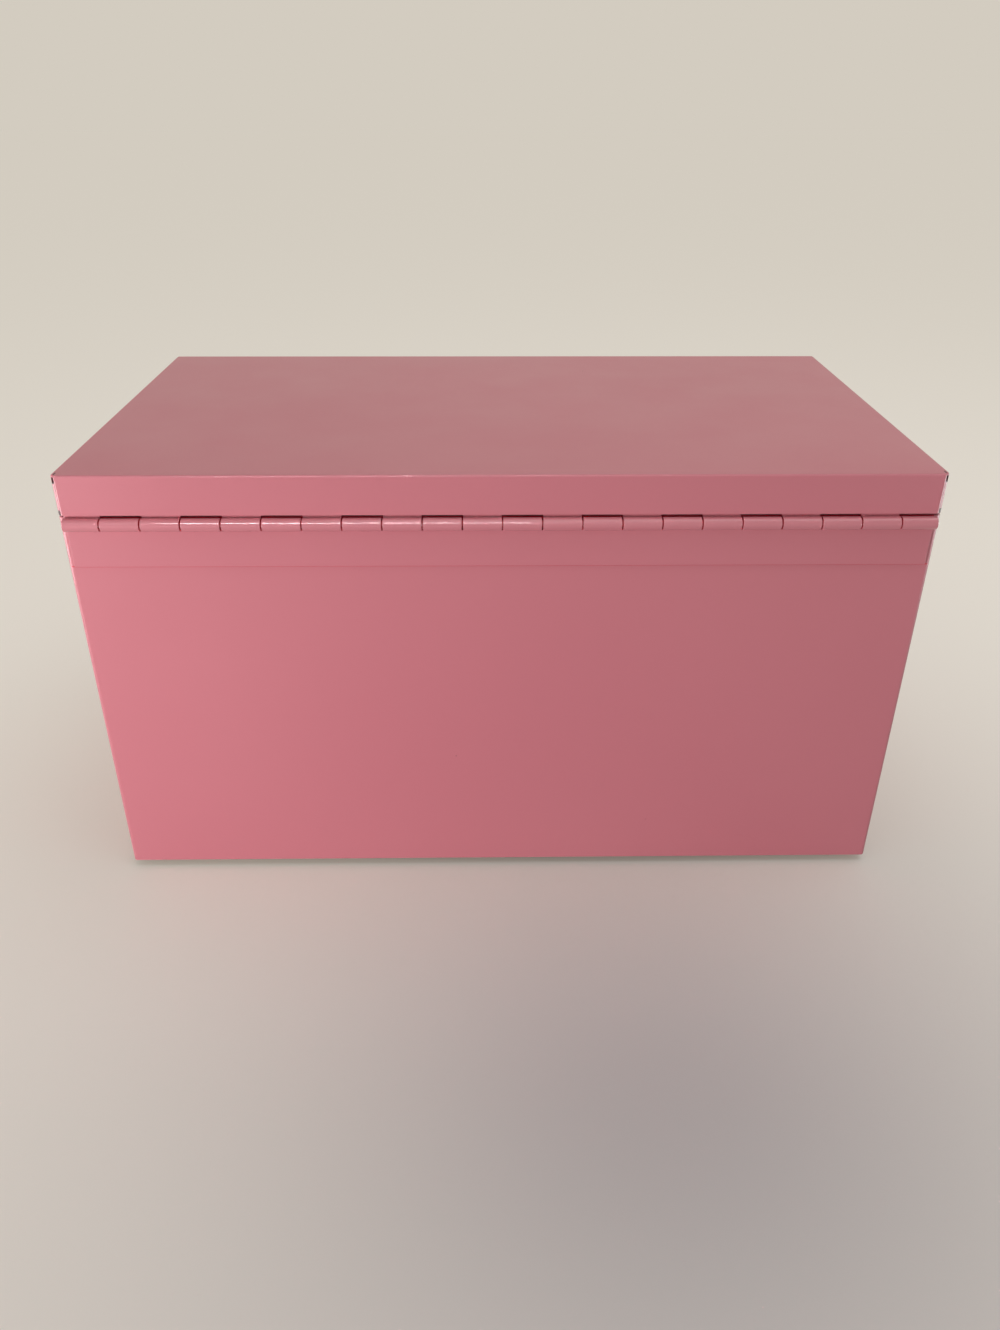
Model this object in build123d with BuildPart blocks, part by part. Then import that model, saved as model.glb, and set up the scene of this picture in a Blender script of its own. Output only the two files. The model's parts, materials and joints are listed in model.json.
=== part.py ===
"""A small sheet-steel tool chest: a lidded till over two drawers, hinged along the whole of its back.

Millimetres. +Z is up, the drawers face -Y and the hinge is at +Y. The origin is on the surface that the
chest stands on, at the middle of its width and of its depth.
"""
import os
from math import asin, cos, degrees, radians, sin, sqrt

from build123d import *

# Sheet and body
body_width = 280.4
body_depth = 152.4
body_height = 139.6
sheet = 0.8
corner_radius = 1.5
hem = 6.0
fit_gap = 0.05
edge_round = 0.5
base_rail_height = 5.0
base_flange = 9.0
till_depth = 41.0
till_rail_return = 12.0
till_flange = 8.0

# Feet
foot_height = 3.0
foot_radius = 6.5
foot_taper = 0.8
foot_inset = 18.0
foot_well = 1.6
foot_screw_radius = 1.45
foot_screw_head_radius = 2.8
foot_screw_head = 1.2
foot_screw_reach = 4.0
hole_clearance = 0.05

# Hinge
hinge_margin = 2.2
knuckle_pitch = 12.65
knuckle_gap = 0.4
leaf_thickness = 0.9
leaf_reach = 15.0
pin_radius = 1.18
pin_clearance = 0.05
pin_drop = 2.0
hinge_seat = 0.1
notch_clearance = 0.4

# Lid
lid_side_inset = 0.5
lid_height = 13.0
lid_lift = 1.0
lid_front_overhang = 1.7
lid_front_lap = 2.5
lid_side_gap = 0.7
lid_bend = 1.2
lid_edge_bend = 0.7
lid_corner_gap = 1.2
lid_tab_reach = 9.0
lid_tab_top = 2.6
lid_tab_low = 0.6
lid_tab_gap = 0.3

# Lid stays: a slotted link on each side, from a stud on the lid to a stud on the body
lid_opening = 95.0
stay_radius = 22.0
stay_lid_rise = 8.0
stay_body_drop = 7.5
stay_thickness = 1.0
stay_half_width = 3.6
stay_offset = 0.9
stud_radius = 1.5
stud_clearance = 0.15
stud_side_clearance = 0.1
stud_head_radius = 2.8
stud_head = 0.8
stud_collar_radius = 2.5

# Rubber rests that the lid closes on
rest_thickness = 0.6
rest_length = 12.0
rest_setback = 24.0
rest_leg = 5.0
rest_wall = 0.6

# Lock and its catch
lock_drop = 21.5
lock_thread_radius = 7.0
lock_bezel_radius = 8.6
lock_bezel = 1.8
lock_length = 13.0
lock_plug_radius = 4.6
lock_plug_clearance = 0.05
lock_nut_radius = 10.0
lock_nut_height = 2.5
key_slot_width = 1.4
key_slot_height = 6.0
key_slot_depth = 6.0
cam_thickness = 1.6
cam_hub_radius = 6.0
cam_finger_inner = 14.0
cam_finger_outer = 17.6
cam_arm_width = 5.0
cam_arm_angle = -35.0
cam_tip_angle = 15.0
cam_screw_radius = 1.5
cam_screw_length = 5.0
cam_screw_head_radius = 2.9
cam_screw_head = 1.4
catch_bar_radius = 1.6
catch_bar_rise = 11.6
catch_thickness = 1.0
catch_half_width = 6.0
catch_foot = 11.0
catch_gap = 0.9
catch_margin = 1.4

# Drawers
drawer_count = 2
drawer_gap = 1.2
drawer_side_gap = 0.8
drawer_front_depth = 9.0
drawer_front_lip = 6.0
tray_sheet = 0.7
tray_lift = 2.5
tray_top_gap = 8.4
tray_hem = 4.0
liner_thickness = 1.5
liner_margin = 0.6
front_screw_radius = 1.5
front_screw_head_radius = 2.7
front_screw_head = 1.0
front_screw_reach = 2.4
front_screw_spacing = 170.0
front_screw_drop = 4.0

# Drawer pulls
pull_thickness = 1.6
pull_reach = 10.0
pull_back = 15.0
pull_lip = 5.5
pull_drop = 1.0

# Ball slides
slide_start = 11.0
slide_rear_gap = 9.4
slide_height = 17.0
slide_wall = 1.0
slide_width = 9.4
rail_lip = 0.9
rail_lip_wall = 0.8
ball_radius = 1.2
ball_clearance = 0.05
ball_side_clearance = 0.15
runner_lip = 0.9
runner_lip_wall = 0.7
cage_thickness = 0.25
cage_clearance = 0.25
cage_end = 5.0
ball_pitch = 10.0
balls_in_row = 3
runner_rivet_radius = 1.5
runner_rivet_head_radius = 2.6
runner_rivet_head = 0.7
runner_rivet_inset = 20.0

# Side handles
handle_drop = 22.0
handle_plate_length = 82.0
handle_plate_height = 20.0
handle_plate_thickness = 1.2
handle_stand_off = 6.0
handle_half_span = 25.0
handle_reach = 24.0
handle_rod = 2.0
handle_rod_clearance = 0.08
handle_bend = 5.0
handle_stub_bend = 3.0
handle_stop_gap = 0.1
ear_thickness = 3.0
ear_wall = 1.8
stub_proud = 0.8
grip_radius = 4.5
grip_length = 30.0
handle_rivet_radius = 1.6
handle_rivet_head_radius = 3.0
handle_rivet_head = 0.8
handle_rivet_inset = 5.0

# Places worked out from the sizes
side_x = body_width / 2
inner_x = side_x - sheet
hem_x = side_x - 2 * sheet
barrel_radius = pin_radius + pin_clearance + leaf_thickness
back_y = (body_depth + pull_reach - hinge_seat - 2 * barrel_radius) / 2
front_y = back_y - body_depth
floor_z = foot_height
rim_z = floor_z + body_height
pin_y = back_y + hinge_seat + barrel_radius
pin_z = rim_z - pin_drop
leaf_y = back_y + hinge_seat
leaf_outer_y = leaf_y + leaf_thickness

lid_x = side_x - lid_side_inset
lid_back_y = leaf_outer_y + fit_gap + sheet
lid_front_y = front_y - lid_front_overhang
lid_low_z = rim_z + lid_lift
lid_top_z = lid_low_z + lid_height
lid_side_low_z = rim_z + lid_side_gap
lid_front_low_z = rim_z - lid_front_lap

till_z = rim_z - till_depth
till_rail_low_z = till_z - 2 * sheet - fit_gap
opening_low_z = floor_z + base_rail_height
drawer_height = (till_rail_low_z - opening_low_z - (drawer_count + 1) * drawer_gap) / drawer_count
drawer_x = hem_x - drawer_side_gap
tray_x = inner_x - slide_width - fit_gap
tray_height = drawer_height - tray_lift - tray_top_gap
tray_front_y = front_y + drawer_front_depth + fit_gap
slide_length = body_depth - slide_start - slide_rear_gap
slide_y = front_y + slide_start
tray_back_y = slide_y + slide_length

os.makedirs("parts", exist_ok=True)


def block(low, high, mode=Mode.ADD):
    """A box between two opposite corners."""
    size = [b - a for a, b in zip(low, high)]
    with Locations(Vector(*low)):
        Box(*size, align=(Align.MIN, Align.MIN, Align.MIN), mode=mode)


def side_block(side, near, far, mode=Mode.ADD):
    """A box on one side of the chest, between corners given for the +X side."""
    across = sorted((side * near[0], side * far[0]))
    block((across[0], near[1], near[2]), (across[1], far[1], far[2]), mode)


def rod(start, direction, radius, length, mode=Mode.ADD):
    """A round bar from a point along a direction."""
    with Locations(Plane(origin=start, z_dir=direction)):
        Cylinder(radius, length, align=(Align.CENTER, Align.CENTER, Align.MIN), mode=mode)


def save(piece, name):
    """Labels a finished piece and writes it out."""
    piece.part.label = name
    export_step(piece.part, f"parts/{name}.step")


# Body shell: the back and both sides in one bent sheet, hemmed inwards along the rim and the front edges
handle_z = rim_z - handle_drop
handle_rivet_y = handle_plate_length / 2 - handle_rivet_inset

with BuildPart() as body_shell:
    with BuildSketch(Plane.XY.offset(floor_z)) as plan:
        with Locations((0, (front_y + back_y) / 2)):
            Rectangle(body_width, body_depth)
        with Locations((0, (front_y + back_y - sheet) / 2)):
            Rectangle(body_width - 2 * sheet, body_depth - sheet, mode=Mode.SUBTRACT)
        rear = plan.vertices().filter_by(lambda v: v.Y > 0)
        fillet(rear.filter_by(lambda v: abs(v.X) > side_x - sheet / 2), corner_radius)
        fillet(rear.filter_by(lambda v: abs(v.X) < side_x - sheet / 2), corner_radius - sheet)
    extrude(amount=body_height)
    for side in (-1, 1):
        side_block(side, (hem_x, front_y, floor_z), (inner_x, front_y + hem, rim_z))
        side_block(side, (hem_x, front_y, rim_z - hem), (inner_x, back_y - sheet, rim_z))
    block((-inner_x, back_y - 2 * sheet, rim_z - hem), (inner_x, back_y - sheet, rim_z))
    rim_edges = body_shell.faces().sort_by(Axis.Z)[-1].outer_wire().edges()
    fillet(rim_edges.filter_by(lambda e: e.center().Y > front_y + hem), edge_round)
    for side in (-1, 1):
        for y in (-handle_rivet_y, handle_rivet_y):
            rod((side * hem_x, y, handle_z), (side, 0, 0), handle_rivet_radius + hole_clearance,
                3 * sheet, Mode.SUBTRACT)
save(body_shell, "body_shell")


def pan(low_z, flange_low_z, flange_high_z):
    """A pan inside the body shell: its flat, cut round the front hems, and flanges on three sides."""
    back = back_y - sheet - fit_gap
    notch_y = front_y + hem + fit_gap
    outer = inner_x - fit_gap
    inner = outer - sheet
    block((-hem_x + fit_gap, front_y + sheet + fit_gap, low_z), (hem_x - fit_gap, notch_y, low_z + sheet))
    block((-outer, notch_y, low_z), (outer, back, low_z + sheet))
    for side in (-1, 1):
        side_block(side, (inner, notch_y, flange_low_z), (outer, back, flange_high_z))
    block((-outer, back - sheet, flange_low_z), (outer, back, flange_high_z))


foot_places = [
    (side * (side_x - foot_inset), y)
    for side in (-1, 1)
    for y in (front_y + foot_inset, back_y - foot_inset)
]
foot_hole_radius = foot_screw_radius + hole_clearance

with BuildPart() as base_pan:
    pan(floor_z, floor_z, floor_z + base_flange)
    block((-hem_x + fit_gap, front_y, floor_z), (hem_x - fit_gap, front_y + sheet + fit_gap, opening_low_z))
    for x, y in foot_places:
        rod((x, y, 0), (0, 0, 1), foot_hole_radius, floor_z + 2 * sheet, Mode.SUBTRACT)
save(base_pan, "base_pan")

with BuildPart() as till_floor:
    pan(till_z - sheet, till_z - till_flange, till_z)
save(till_floor, "till_floor")

lock_z = rim_z - lock_drop
till_rail_x = hem_x - fit_gap

with BuildPart() as till_rail:
    block((-till_rail_x, front_y, till_rail_low_z), (till_rail_x, front_y + sheet, rim_z))
    block((-till_rail_x, front_y, till_rail_low_z),
          (till_rail_x, front_y + till_rail_return, till_rail_low_z + sheet))
    block((-till_rail_x, front_y, rim_z - hem), (till_rail_x, front_y + 2 * sheet, rim_z))
    long_edges = till_rail.edges().filter_by(Axis.X)
    top_edges = long_edges.filter_by(lambda e: e.center().Z > rim_z - sheet / 2)
    fillet(top_edges, edge_round)
    rod((0, front_y - sheet, lock_z), (0, 1, 0), lock_thread_radius + hole_clearance, 4 * sheet,
        Mode.SUBTRACT)
save(till_rail, "till_rail")

with BuildPart() as till_liner:
    block((-hem_x + liner_margin, front_y + 2 * sheet + liner_margin, till_z + fit_gap),
          (hem_x - liner_margin, back_y - 2 * sheet - liner_margin, till_z + fit_gap + liner_thickness))
save(till_liner, "till_liner")

# Feet, each held by a screw up through the base
with BuildPart() as rubber_feet:
    for x, y in foot_places:
        with Locations((x, y, 0)):
            Cone(foot_radius - foot_taper, foot_radius, foot_height,
                 align=(Align.CENTER, Align.CENTER, Align.MIN))
        rod((x, y, 0), (0, 0, 1), foot_screw_head_radius + hole_clearance, foot_well, Mode.SUBTRACT)
        rod((x, y, 0), (0, 0, 1), foot_hole_radius, 2 * foot_height, Mode.SUBTRACT)
save(rubber_feet, "rubber_feet")

with BuildPart() as foot_screws:
    for x, y in foot_places:
        rod((x, y, foot_well), (0, 0, -1), foot_screw_head_radius, foot_screw_head)
        rod((x, y, foot_well), (0, 0, 1), foot_screw_radius, foot_screw_reach)
save(foot_screws, "foot_screws")

# Hinge: knuckles counted from the +X end, the first on the upper leaf and then turn about
hinge_length = body_width - 2 * hinge_margin
knuckle_count = round(hinge_length / knuckle_pitch)
end_knuckle = (hinge_length - (knuckle_count - 2) * knuckle_pitch) / 2
knuckle_ends = [hinge_length / 2]
knuckle_ends += [hinge_length / 2 - end_knuckle - n * knuckle_pitch for n in range(knuckle_count - 1)]
knuckle_ends += [-hinge_length / 2]


def hinge_leaf(first, rise, plate_x):
    """One leaf: a plate, notched beside the other leaf's knuckles, with its own rolled round the pin.

    first is 0 or 1, rise is 1 for the leaf that goes up and -1 for the one that goes down, and plate_x is
    half the plate's width beyond the knuckles.
    """
    edge_z = pin_z + rise * leaf_reach
    notch_z = pin_z + rise * (barrel_radius + notch_clearance)
    heights = sorted((edge_z, notch_z))
    block((-plate_x, leaf_y, heights[0]), (plate_x, leaf_outer_y, heights[1]))
    for n in range(knuckle_count):
        start = knuckle_ends[n + 1] + (knuckle_gap / 2 if n < knuckle_count - 1 else 0)
        end = knuckle_ends[n] - (knuckle_gap / 2 if n > 0 else 0)
        if n % 2 == first:
            heights = sorted((pin_z, notch_z))
            block((start, leaf_y, heights[0]), (end, leaf_outer_y, heights[1]))
            rod((start, pin_y, pin_z), (1, 0, 0), barrel_radius, end - start)
    rod((-hinge_length, pin_y, pin_z), (1, 0, 0), pin_radius + pin_clearance, 2 * hinge_length, Mode.SUBTRACT)


upper_plate_x = lid_x - lid_tab_reach - lid_tab_gap
tab_low_z = lid_low_z + lid_tab_low

with BuildPart() as hinge_lower_leaf:
    hinge_leaf(1, -1, hinge_length / 2)
save(hinge_lower_leaf, "hinge_lower_leaf")

with BuildPart() as hinge_upper_leaf:
    hinge_leaf(0, 1, upper_plate_x)
    strip_low_z = pin_z + barrel_radius + notch_clearance
    block((-hinge_length / 2, leaf_y, strip_low_z), (hinge_length / 2, leaf_outer_y, tab_low_z - lid_tab_gap))
save(hinge_upper_leaf, "hinge_upper_leaf")

with BuildPart() as hinge_pin:
    rod((-hinge_length / 2, pin_y, pin_z), (1, 0, 0), pin_radius, hinge_length)
save(hinge_pin, "hinge_pin")

# Lid: a top with flanges; the side flanges turn behind the rear flange as corner tabs
tab_outer_y = leaf_outer_y - fit_gap
rear_flange_x = lid_x - lid_corner_gap

with BuildPart() as lid_shell:
    block((-lid_x, lid_front_y, lid_front_low_z), (lid_x, tab_outer_y, lid_top_z))
    upright = lid_shell.edges().filter_by(Axis.Z)
    fillet(upright, lid_bend)
    fillet(lid_shell.faces().sort_by(Axis.Z)[-1].edges(), lid_edge_bend)
    block((-lid_x + sheet, lid_front_y + sheet, lid_front_low_z),
          (lid_x - sheet, tab_outer_y - sheet, lid_top_z - sheet), Mode.SUBTRACT)
    block((-lid_x, lid_front_y + lid_bend, lid_front_low_z), (lid_x, lid_back_y, lid_side_low_z),
          Mode.SUBTRACT)
    tab_x = lid_x - lid_tab_reach
    block((-tab_x, tab_outer_y - sheet, lid_side_low_z), (tab_x, lid_back_y, lid_top_z - sheet),
          Mode.SUBTRACT)
    for side in (-1, 1):
        side_block(side, (0, tab_outer_y - sheet, lid_side_low_z), (lid_x - lid_bend, lid_back_y, tab_low_z),
                   Mode.SUBTRACT)
        side_block(side, (0, tab_outer_y - sheet, lid_top_z - lid_tab_top),
                   (lid_x, lid_back_y, lid_top_z - sheet), Mode.SUBTRACT)
    with BuildSketch(Plane.YZ.offset(-rear_flange_x)):
        with BuildLine():
            Polyline(
                (leaf_y - lid_bend, lid_top_z),
                (lid_back_y, lid_top_z),
                (lid_back_y, lid_low_z),
                (lid_back_y - sheet, lid_low_z),
                (lid_back_y - sheet, lid_top_z - sheet),
                (leaf_y - lid_bend, lid_top_z - sheet),
                close=True,
            )
        make_face()
    extrude(amount=2 * rear_flange_x)
    rear_edges = lid_shell.edges().filter_by(lambda e: abs(e.center().Y - lid_back_y) < fit_gap)
    rear_bend = rear_edges.filter_by(Axis.X).sort_by(Axis.Z)[-1:]
    flange_ends = rear_edges.filter_by(Axis.Z)
    fillet(rear_bend + flange_ends, lid_edge_bend)
save(lid_shell, "lid_shell")

# Lid stays: both studs stand at the same distance from the hinge pin, so a link turns half as fast as the lid
lid_stud_y = pin_y - sqrt(stay_radius**2 - stay_lid_rise**2)
lid_stud_z = pin_z + stay_lid_rise
body_stud_y = pin_y - sqrt(stay_radius**2 - stay_body_drop**2)
body_stud_z = pin_z - stay_body_drop
closed_angle = degrees(asin(stay_lid_rise / stay_radius) + asin(stay_body_drop / stay_radius))
slot_start = 2 * stay_radius * sin(radians(closed_angle / 2))
slot_end = 2 * stay_radius * sin(radians((closed_angle + lid_opening) / 2))
stay_outer_x = min(hem_x, lid_x - sheet) - stay_offset
stay_inner_x = stay_outer_x - stay_thickness
stay_down = Vector(0, body_stud_y - lid_stud_y, body_stud_z - lid_stud_z).normalized()


def stay_link(side):
    """A slotted link, drawn along its own length from the stud on the lid."""
    near_x = stay_inner_x if side > 0 else -stay_outer_x
    place = Plane(origin=(near_x, lid_stud_y, lid_stud_z), x_dir=stay_down, z_dir=(1, 0, 0))
    with BuildSketch(place) as outline:
        with Locations((slot_end / 2, 0)):
            SlotCenterToCenter(slot_end, 2 * stay_half_width)
        Circle(stud_radius + stud_clearance, mode=Mode.SUBTRACT)
        with Locations(((slot_start + slot_end) / 2, 0)):
            SlotCenterToCenter(slot_end - slot_start, 2 * (stud_radius + stud_clearance), mode=Mode.SUBTRACT)
    extrude(outline.sketch, amount=stay_thickness)


def stay_stud(side, y, z, seat_x):
    """A shouldered stud from its seat inwards, with the link between its collar and its head."""
    collar = seat_x - stay_outer_x - stud_side_clearance
    head_x = stay_inner_x - stud_side_clearance
    rod((side * seat_x, y, z), (-side, 0, 0), stud_collar_radius, collar)
    rod((side * seat_x, y, z), (-side, 0, 0), stud_radius, seat_x - head_x)
    rod((side * head_x, y, z), (-side, 0, 0), stud_head_radius, stud_head)


for side, label in ((-1, "left"), (1, "right")):
    with BuildPart() as stay:
        stay_link(side)
    save(stay, f"{label}_lid_stay")

with BuildPart() as body_stay_studs:
    for side in (-1, 1):
        stay_stud(side, body_stud_y, body_stud_z, inner_x)
save(body_stay_studs, "body_stay_studs")

with BuildPart() as lid_stay_studs:
    for side in (-1, 1):
        stay_stud(side, lid_stud_y, lid_stud_z, lid_x - sheet)
save(lid_stay_studs, "lid_stay_studs")

# Rubber rests, clipped over the side rims near the front
with BuildPart() as lid_rests:
    for side in (-1, 1):
        near_y = front_y + rest_setback
        far_y = near_y + rest_length
        side_block(side, (hem_x - fit_gap - rest_wall, near_y, rim_z + fit_gap),
                   (side_x - edge_round, far_y, rim_z + rest_thickness))
        side_block(side, (hem_x - fit_gap - rest_wall, near_y, rim_z - rest_leg),
                   (hem_x - fit_gap, far_y, rim_z + rest_thickness))
save(lid_rests, "lid_rests")

# Lock: a barrel through the till rail, with a plug that turns a hooked cam
with BuildPart() as lock_barrel:
    rod((0, front_y - fit_gap, lock_z), (0, -1, 0), lock_bezel_radius, lock_bezel)
    bezel_edge = lock_barrel.edges().sort_by(Axis.Y)[0]
    fillet(bezel_edge, edge_round)
    rod((0, front_y - fit_gap, lock_z), (0, 1, 0), lock_thread_radius, lock_length)
    rod((0, front_y - 2 * lock_bezel, lock_z), (0, 1, 0), lock_plug_radius + lock_plug_clearance,
        lock_length + 4 * lock_bezel, Mode.SUBTRACT)
save(lock_barrel, "lock_barrel")

lock_nut_y = front_y + sheet + fit_gap
with BuildPart() as lock_nut:
    with BuildSketch(Plane.XZ.offset(-lock_nut_y)):
        with Locations((0, lock_z)):
            RegularPolygon(lock_nut_radius, 6)
            Circle(lock_thread_radius + hole_clearance, mode=Mode.SUBTRACT)
    extrude(amount=-lock_nut_height)
save(lock_nut, "lock_nut")

plug_front_y = front_y - fit_gap - lock_bezel
plug_back_y = front_y - fit_gap + lock_length + fit_gap
with BuildPart() as lock_plug:
    rod((0, plug_front_y, lock_z), (0, 1, 0), lock_plug_radius, plug_back_y - plug_front_y)
    block((-key_slot_width / 2, plug_front_y, lock_z - key_slot_height / 2),
          (key_slot_width / 2, plug_front_y + key_slot_depth, lock_z + key_slot_height / 2), Mode.SUBTRACT)
    rod((0, plug_back_y - cam_screw_length, lock_z), (0, 1, 0), cam_screw_radius + hole_clearance,
        2 * cam_screw_length, Mode.SUBTRACT)
save(lock_plug, "lock_plug")

cam_y = plug_back_y + fit_gap
with BuildPart() as lock_cam:
    with BuildSketch(Plane.XZ.offset(-cam_y)):
        with Locations((0, lock_z)):
            Circle(cam_finger_outer)
            Circle(cam_finger_inner, mode=Mode.SUBTRACT)
        with BuildLine():
            spread = radians(cam_tip_angle - cam_arm_angle) / 2
            reach = 2 * cam_finger_outer / cos(spread)
            Polyline(
                (0, lock_z),
                (reach * cos(radians(cam_arm_angle)), lock_z + reach * sin(radians(cam_arm_angle))),
                (reach * cos(radians(cam_tip_angle)), lock_z + reach * sin(radians(cam_tip_angle))),
                close=True,
            )
        make_face(mode=Mode.INTERSECT)
        with Locations((0, lock_z)):
            Circle(cam_hub_radius)
        arm_middle = cam_finger_outer / 2 + cam_hub_radius / 4
        arm_turn = radians(cam_arm_angle)
        with Locations(Location((arm_middle * cos(arm_turn), lock_z + arm_middle * sin(arm_turn)),
                                cam_arm_angle)):
            Rectangle(2 * (cam_finger_outer - arm_middle) - edge_round, cam_arm_width)
        with Locations((0, lock_z)):
            Circle(cam_screw_radius + hole_clearance, mode=Mode.SUBTRACT)
    extrude(amount=-cam_thickness)
save(lock_cam, "lock_cam")

with BuildPart() as cam_screw:
    rod((0, cam_y + cam_thickness + fit_gap, lock_z), (0, 1, 0), cam_screw_head_radius, cam_screw_head)
    rod((0, cam_y + cam_thickness + fit_gap, lock_z), (0, -1, 0), cam_screw_radius, cam_screw_length)
save(cam_screw, "cam_screw")

bar_z = lock_z + catch_bar_rise
catch_y = cam_y + cam_thickness + catch_gap
catch_low_z = bar_z - catch_bar_radius - catch_margin
catch_high_z = lid_top_z - sheet - fit_gap
with BuildPart() as lock_catch:
    block((-catch_half_width, catch_y, catch_low_z),
          (catch_half_width, catch_y + catch_thickness, catch_high_z))
    block((-catch_half_width, catch_y, catch_high_z - catch_thickness),
          (catch_half_width, catch_y + catch_foot, catch_high_z))
    low_corners = lock_catch.edges().filter_by(Axis.Y).group_by(Axis.Z)[0]
    fillet(low_corners, catch_half_width / 2)
    rod((0, catch_y, bar_z), (0, -1, 0), catch_bar_radius, cam_thickness + 2 * catch_gap)
save(lock_catch, "lock_catch")

# Side handles: a plate with two ears and a lip over them, and a bail that the lip stops when it stands out
axis_x = side_x + handle_plate_thickness + handle_stand_off
ear_radius = handle_rod + handle_rod_clearance + ear_wall
lip_z = handle_z + handle_rod + handle_stop_gap
plate_top_z = lip_z + handle_plate_thickness
plate_low_z = plate_top_z - handle_plate_height
ear_inner_y = handle_half_span
ear_outer_y = handle_half_span + ear_thickness
arm_y = ear_inner_y - handle_stub_bend
plate_x = side_x + fit_gap


def handle_plate(side):
    """The plate on one side: flat against the body, with its ears and its stop lip standing out."""
    outer_x = plate_x + handle_plate_thickness
    side_block(side, (plate_x, -handle_plate_length / 2, plate_low_z),
               (outer_x, handle_plate_length / 2, plate_top_z))
    for y in (-ear_outer_y, ear_inner_y):
        side_block(side, (plate_x, y, handle_z - ear_radius),
                   (axis_x, y + ear_thickness, handle_z + ear_radius))
        rod((side * axis_x, y, handle_z), (0, 1, 0), ear_radius, ear_thickness)
        rod((side * axis_x, y, handle_z), (0, 1, 0), handle_rod + handle_rod_clearance, ear_thickness,
            Mode.SUBTRACT)
    side_block(side, (plate_x, -ear_inner_y, lip_z), (axis_x + ear_radius, ear_inner_y, plate_top_z))
    for y in (-handle_rivet_y, handle_rivet_y):
        rod((side * plate_x, y, handle_z), (side, 0, 0), handle_rivet_radius + hole_clearance,
            2 * handle_plate_thickness, Mode.SUBTRACT)


def handle_bail(side):
    """The bail as it hangs: a bent rod with its stubs turned outwards through the ears."""
    stub_y = ear_outer_y + stub_proud
    low_z = handle_z - handle_reach
    with BuildLine():
        path = FilletPolyline(
            (side * axis_x, -stub_y, handle_z),
            (side * axis_x, -arm_y, handle_z),
            (side * axis_x, -arm_y, low_z),
            (side * axis_x, arm_y, low_z),
            (side * axis_x, arm_y, handle_z),
            (side * axis_x, stub_y, handle_z),
            radius=[handle_stub_bend, handle_bend, handle_bend, handle_stub_bend],
        )
    with BuildSketch(Plane(origin=path @ 0, z_dir=path % 0)) as section:
        Circle(handle_rod)
    sweep(section.sketch, path=path)


for side, label in ((-1, "left"), (1, "right")):
    with BuildPart() as plate:
        handle_plate(side)
    save(plate, f"{label}_handle_plate")
    with BuildPart() as bail:
        handle_bail(side)
    save(bail, f"{label}_handle_bail")
    with BuildPart() as grip:
        rod((side * axis_x, -grip_length / 2, handle_z - handle_reach), (0, 1, 0), grip_radius, grip_length)
        fillet(grip.edges(), edge_round)
        rod((side * axis_x, -grip_length, handle_z - handle_reach), (0, 1, 0), handle_rod + hole_clearance,
            2 * grip_length, Mode.SUBTRACT)
    save(grip, f"{label}_handle_grip")

with BuildPart() as handle_rivets:
    head_x = plate_x + handle_plate_thickness + fit_gap
    tail_x = inner_x - fit_gap
    for side in (-1, 1):
        for y in (-handle_rivet_y, handle_rivet_y):
            rod((side * head_x, y, handle_z), (side, 0, 0), handle_rivet_head_radius, handle_rivet_head)
            rod((side * tail_x, y, handle_z), (side, 0, 0), handle_rivet_radius, head_x - tail_x)
            rod((side * tail_x, y, handle_z), (-side, 0, 0), handle_rivet_head_radius, handle_rivet_head)
save(handle_rivets, "handle_rivets")

# Ball slides: heights above the slide's middle, and depths inwards from the body's side wall
rail_outer = slide_height / 2
rail_inner = rail_outer - slide_wall
ball_rise = rail_inner - ball_clearance - ball_radius
runner_outer = ball_rise - ball_radius - ball_clearance
runner_inner = runner_outer - slide_wall
cage_near = slide_wall + cage_clearance
cage_far = cage_near + cage_thickness
runner_lip_near = cage_far + cage_clearance
runner_lip_far = runner_lip_near + runner_lip_wall
ball_depth = runner_lip_far + ball_side_clearance + ball_radius
rail_lip_near = ball_depth + ball_radius + ball_side_clearance
rail_lip_far = rail_lip_near + rail_lip_wall
runner_web = slide_width - slide_wall


def channel(side, middle_z, start_y, length, half):
    """A bar of constant section along the slide, from one half of its outline as (depth, height) pairs."""
    points = half + [(depth, -height) for depth, height in reversed(half)]
    with BuildSketch(Plane.XZ.offset(-start_y)) as section:
        with BuildLine():
            Polyline(*[(side * (inner_x - depth), middle_z + height) for depth, height in points], close=True)
        make_face()
    extrude(section.sketch, amount=-length)


rail_half = [
    (0, rail_outer),
    (rail_lip_far, rail_outer),
    (rail_lip_far, rail_inner - rail_lip),
    (rail_lip_near, rail_inner - rail_lip),
    (rail_lip_near, rail_inner),
    (slide_wall, rail_inner),
]
runner_half = [
    (slide_width, runner_outer),
    (runner_lip_far, runner_outer),
    (runner_lip_far, runner_outer + runner_lip),
    (runner_lip_near, runner_outer + runner_lip),
    (runner_lip_near, runner_inner),
    (runner_web, runner_inner),
]
cage_half = [
    (cage_near, ball_rise + cage_thickness / 2),
    (rail_lip_near, ball_rise + cage_thickness / 2),
    (rail_lip_near, ball_rise - cage_thickness / 2),
    (cage_far, ball_rise - cage_thickness / 2),
]
rivet_places = [slide_y + runner_rivet_inset, slide_y + slide_length - runner_rivet_inset]
slide_middle_y = slide_y + slide_length / 2
cage_length = (balls_in_row - 1) * ball_pitch + 2 * cage_end
ball_places = [slide_middle_y + (n - (balls_in_row - 1) / 2) * ball_pitch for n in range(balls_in_row)]


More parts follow.
